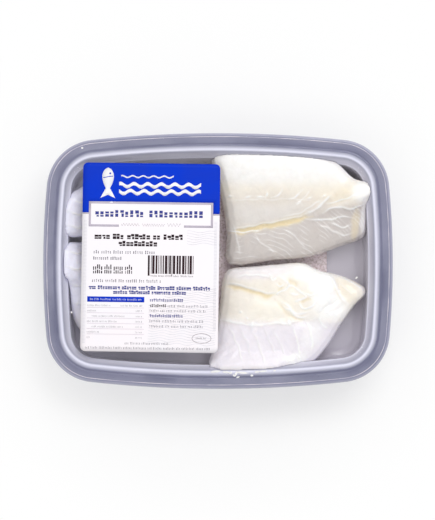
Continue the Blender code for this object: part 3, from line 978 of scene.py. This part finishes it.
# Small grey rows: dates and weights, the table's entries, the right-hand column and the address.
small = row(6.4, 40, 47.0, 1.7, 0.42) + row(6.2, 22, 50.4, 1.6, 0.5) + row(5.8, 43, 62.4, 1.6, 0.42)
small += row(46.4, 68, 75.7, 1.3, 0.34) + row(36.8, 67.6, 78.3, 1.3, 0.34)
small += row(36.8, 65.6, 83.8, 1.3, 0.34) + row(36.8, 66.0, 86.6, 1.3, 0.34)
small += row(23.7, 48, 95.9, 1.2, 0.34) + row(2.6, 69.7, 98.4, 1.2, 0.34)
small += row(61.6, 67.6, 92.9, 0.9, 0.4, (6, 6))
entries = ((3.4, 16.2), (3.4, 8.4), (6, 23.8), (3.4, 19.4), (6, 23.2), (3.4, 10.4), (3.4, 5.6))
for index, (start, stop) in enumerate(entries):
    entry_top = TABLE_TOP + TABLE_ROW * index
    small += row(start, stop, entry_top, 0.95, 0.3)
    small += row(21.2 if index == 0 else 29.4, 33.2, entry_top, 0.95, 0.3, (2, 4))
ink("rows_grey", DARK_GREY, small)
rules = [TABLE_TOP + 1.5 + TABLE_ROW * index for index in range(len(entries) - 1)]
ink("rules_pink", srgb(212, 196, 212), [bar(TABLE_LEFT, y, TABLE_RIGHT, y + 0.18) for y in rules])

# The box's frame, open below for a thin line of waves, and a ring as round an inspection mark.
OPEN_LEFT, OPEN_RIGHT = 19.6, 54.4
box_frame = outline(
    (OPEN_LEFT, BOX_LOW),
    (BOX_LEFT, BOX_LOW),
    (BOX_LEFT, BOX_TOP),
    (BOX_RIGHT, BOX_TOP),
    (BOX_RIGHT, BOX_LOW),
    (OPEN_RIGHT, BOX_LOW),
    (OPEN_RIGHT, BOX_LOW - FRAME),
    (BOX_RIGHT - FRAME, BOX_LOW - FRAME),
    (BOX_RIGHT - FRAME, BOX_TOP + FRAME),
    (BOX_LEFT + FRAME, BOX_TOP + FRAME),
    (BOX_LEFT + FRAME, BOX_LOW - FRAME),
    (OPEN_LEFT, BOX_LOW - FRAME),
)
head_edge = [bar(0, HEAD_LOW, BOX_LEFT, 27.6), bar(BOX_RIGHT, HEAD_LOW, FULL, 27.6)]
ink("frame_grey", srgb(198, 190, 204), [box_frame] + head_edge)
thin = [wave(20.8, 30.5, 33.1, 0.55, 1.5, 0.24), wave(32, 44, 33.2, 0.6, 1.3, 0.24)]
thin += [wave(45.4, 52.6, 33.0, 0.7, 1.7, 0.24)]
MARK_STEPS = 28
mark = list(zip(oval(64.6, 93.4, 5.2, 2.7, MARK_STEPS), oval(64.6, 93.4, 4.95, 2.45, MARK_STEPS)))
for (outer, inner), (next_outer, next_inner) in zip(mark, mark[1:] + mark[:1]):
    thin.append([outer, next_outer, next_inner, inner])
ink("script_brown", srgb(150, 138, 146), thin)

# Faint wavy lines over the lower half, as on paper that is hard to copy.
ground = [wave(46 - 0.35 * n, 72, 66 + 1.3 * n, 0.45, 9.5, 0.22, 0.5 * n, 0.03) for n in range(7)]
ground += [wave(36, 72, 76 + 1.35 * n, 0.5, 10.5, 0.22, 0.35 * n, 0.02) for n in range(16)]
ground += [wave(56, 72, 36.4 + 1.3 * n, 0.5, 12, 0.2, 0.4 * n) for n in range(6)]
for left, right, count in ((0.9, 2.6, 88), (70.6, 72.2, 78)):
    ground += [bar(left, 31 + 0.75 * n, right, 31.22 + 0.75 * n) for n in range(count)]
ink("waves_pale", srgb(228, 226, 234), ground, level=-0.006)

# In the head: a plain fish on its tail, and waves beside it.
FISH_X, FISH_HEAD, FISH_LENGTH, FISH_HALF = 13.4, 2.6, 12.6, 3.1
TAIL_HALF, TAIL_TIP, TAIL_NOTCH = 4.0, 16.4, 14.6
flank = [(FISH_HALF * math.sin(math.pi * t**0.72) ** 0.8, t) for t in (step / 16 for step in range(1, 15))]
fish = outline((FISH_X, FISH_HEAD), *((FISH_X + w, FISH_HEAD + FISH_LENGTH * t) for w, t in flank))
fish += outline(
    (FISH_X + TAIL_HALF, FISH_HEAD + TAIL_TIP),
    (FISH_X, FISH_HEAD + TAIL_NOTCH),
    (FISH_X - TAIL_HALF, FISH_HEAD + TAIL_TIP),
)
fish += outline(*((FISH_X - w, FISH_HEAD + FISH_LENGTH * t) for w, t in flank[::-1]))
sea = [wave(20.4, 48.5, 7.3, 0.5, 5.6, 0.75), wave(19.4, 63.2, 11.9, 0.9, 7.3, 1.9)]
sea += [wave(19.4, 63.2, 15.6, 0.9, 7.3, 1.9, 1.6)]
white_rows = row(4.8, 32.4, 72.65, 1.0, 0.4)
ink("motif_white", srgb(250, 249, 252), [fish] + sea + white_rows, level=0.03, roughness=0.45)
eye = oval(FISH_X + 1.1, FISH_HEAD + 3.1, 0.5, 0.5, 10)
gill = wave(FISH_X - 2.6, FISH_X + 2.6, 7.6, 0.4, 10.4, 0.4, 1.57)
ink("motif_blue", BLUE, [eye, gill], level=0.06)


# ----------------------------------------
# Small things at the rim: the film's cut edge, which turns white where the die has crushed it, and flecks
# of fish that were caught under the film when the tray was sealed.

edge_section = ((0, 0.02), (0, 0.10), (0.24, 0.11), (0.24, 0.09), (0, 0.02))  # inwards and upwards, in mm
edge_rings = [(rim_outline(FILM_MARGIN + inwards * MM), RIM + up * MM) for inwards, up in edge_section]
edge_mesh = loft([[(x, y, height) for x, y in points] for points, height in edge_rings])
bmesh.ops.remove_doubles(edge_mesh, verts=edge_mesh.verts, dist=0.001 * MM)
crushed = Finish("crushed_film_edge")
broken = crushed.ramp(crushed.noise(90, detail=3), 0.35, 0.6)
crushed.set(Base_Color=crushed.mix(broken, srgb(190, 186, 206), srgb(240, 232, 240)), Roughness=0.35)
film_edge = piece("lid_cut_edge", edge_mesh, crushed.material)
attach(film_edge, "root")

fleck_mesh = bmesh.new()
for x, y, length, width, turn in (
    (9.6, -60.6, 1.5, 0.7, 70),
    (10.6, -62.3, 0.9, 0.45, 20),
    (8.4, -61.4, 0.7, 0.4, 120),
    (18.0, -61.4, 0.9, 0.5, 10),
    (-1.4, -59.3, 2.6, 0.6, 5),
    (4.6, -59.7, 2.2, 0.5, -6),
    (6.8, -60.0, 0.9, 0.5, 24),
    (13.2, -59.9, 3.0, 0.6, -3),
    (20.8, -59.5, 1.4, 0.5, 12),
    (24.0, -59.2, 2.4, 0.5, 3),
    (30.2, -58.9, 0.8, 0.4, 8),
    (74.0, -9.2, 0.8, 0.4, 50),
    (-72.7, 60.4, 0.6, 0.5, 0),
    (-78.1, -27.7, 0.6, 0.4, 90),
):
    shape = bmesh.ops.create_icosphere(fleck_mesh, subdivisions=3, radius=1)
    for vert in shape["verts"]:
        vert.co *= 1 + 0.35 * noise.noise(vert.co * 1.7 + Vector((x, y, 0)))
    place = Matrix.Translation((x * MM, y * MM, RIM - 0.03 * MM))
    turned = Matrix.Rotation(math.radians(turn), 4, "Z")
    size = Matrix.Diagonal((length * MM, width * MM, 0.12 * MM, 1))
    bmesh.ops.transform(fleck_mesh, matrix=place @ turned @ size, verts=shape["verts"])
flecks = piece("caught_flecks", fleck_mesh, flesh.material, smooth=None)
for name in TONES:
    paint(flecks, name, np.full(len(flecks.data.vertices), 0.8 if name == "membrane" else 0.0))
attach(flecks, "root")


# ----------------------------------------
# The table and the light: a plain white table that fades into a white room, one broad soft lamp high at the
# back right, a weak one at the front left, and the camera nearly straight above.

TABLE_RADIUS = 3.0
ROOM_GLOW = 1.0  # how white the room looks
ROOM_LIGHT = 0.68  # how strongly it lights what stands in it


def seen_directly(tree):
    """1 where the camera sees something, also in a shiny surface or through a clear one, and 0 otherwise."""
    path = tree.nodes.new("ShaderNodeLightPath")
    seen = path.outputs["Is Camera Ray"]
    for ray in ("Is Glossy Ray", "Is Transmission Ray"):
        either = tree.nodes.new("ShaderNodeMath")
        either.operation = "MAXIMUM"
        tree.links.new(seen, either.inputs[0])
        tree.links.new(path.outputs[ray], either.inputs[1])
        seen = either.outputs[0]
    return seen


floor_mesh = bmesh.new()
bmesh.ops.create_circle(floor_mesh, cap_ends=True, segments=64, radius=TABLE_RADIUS)
table_white = Finish("white_table")
table_white.set(Base_Color=(0.9, 0.9, 0.9, 1), Roughness=0.9, Specular_IOR_Level=0.0)
distance = table_white.node("VectorMath", {"operation": "LENGTH"}, _0=table_white.place())
far_off = table_white.ramp(distance.outputs["Value"], 0.08, 0.16, 0.5, 1.0)
table_white.surface(
    table_white.combine("MULTIPLY", seen_directly(table_white.tree), far_off),
    table_white.shader,
    table_white.node("Emission", Color=(1, 1, 1, 1), Strength=ROOM_GLOW),
)
floor = piece("table_top", floor_mesh, table_white.material, smooth=None)

world = bpy.data.worlds.new("white_room")
world.use_nodes = True
bpy.context.scene.world = world
room = world.node_tree
strength = room.nodes.new("ShaderNodeMapRange")
strength.inputs["To Min"].default_value = ROOM_LIGHT
strength.inputs["To Max"].default_value = ROOM_GLOW
room.links.new(seen_directly(room), strength.inputs["Value"])
room.nodes["Background"].inputs["Color"].default_value = (1, 1, 1, 1)
room.links.new(strength.outputs["Result"], room.nodes["Background"].inputs["Strength"])


def soft_lamp(name, place, size, power):
    """A rectangular lamp that faces the object."""
    data = bpy.data.lights.new(name, "AREA")
    data.shape = "RECTANGLE"
    data.size, data.size_y = size
    data.energy = power
    made = bpy.data.objects.new(name, data)
    bpy.context.scene.collection.objects.link(made)
    made.location = place
    made.rotation_euler = (Vector((0, 0, RIM)) - Vector(place)).to_track_quat("-Z", "Y").to_euler()


soft_lamp("lamp_back", (0.40, 0.72, 1.05), (1.0, 0.6), 8.0)
soft_lamp("lamp_front", (-0.6, -0.6, 0.9), (0.7, 0.7), 1.5)

CAMERA_DISTANCE, CAMERA_ELEVATION = 1.6, math.radians(86.5)
SEEN_HEIGHT = 0.2778  # of the whole view, at the rim
SENSOR = 36
aim = Vector((-0.27 * MM, 0.27 * MM, RIM))
camera_data = bpy.data.cameras.new("camera")
camera_data.sensor_width = SENSOR
camera_data.lens = SENSOR * CAMERA_DISTANCE / SEEN_HEIGHT
camera = bpy.data.objects.new("camera", camera_data)
bpy.context.scene.collection.objects.link(camera)
toward_camera = Vector((0, -math.cos(CAMERA_ELEVATION), math.sin(CAMERA_ELEVATION)))
camera.location = aim + CAMERA_DISTANCE * toward_camera
camera.rotation_euler = (aim - camera.location).to_track_quat("-Z", "Y").to_euler()
bpy.context.scene.camera = camera
bpy.context.scene.view_settings.view_transform = "Standard"
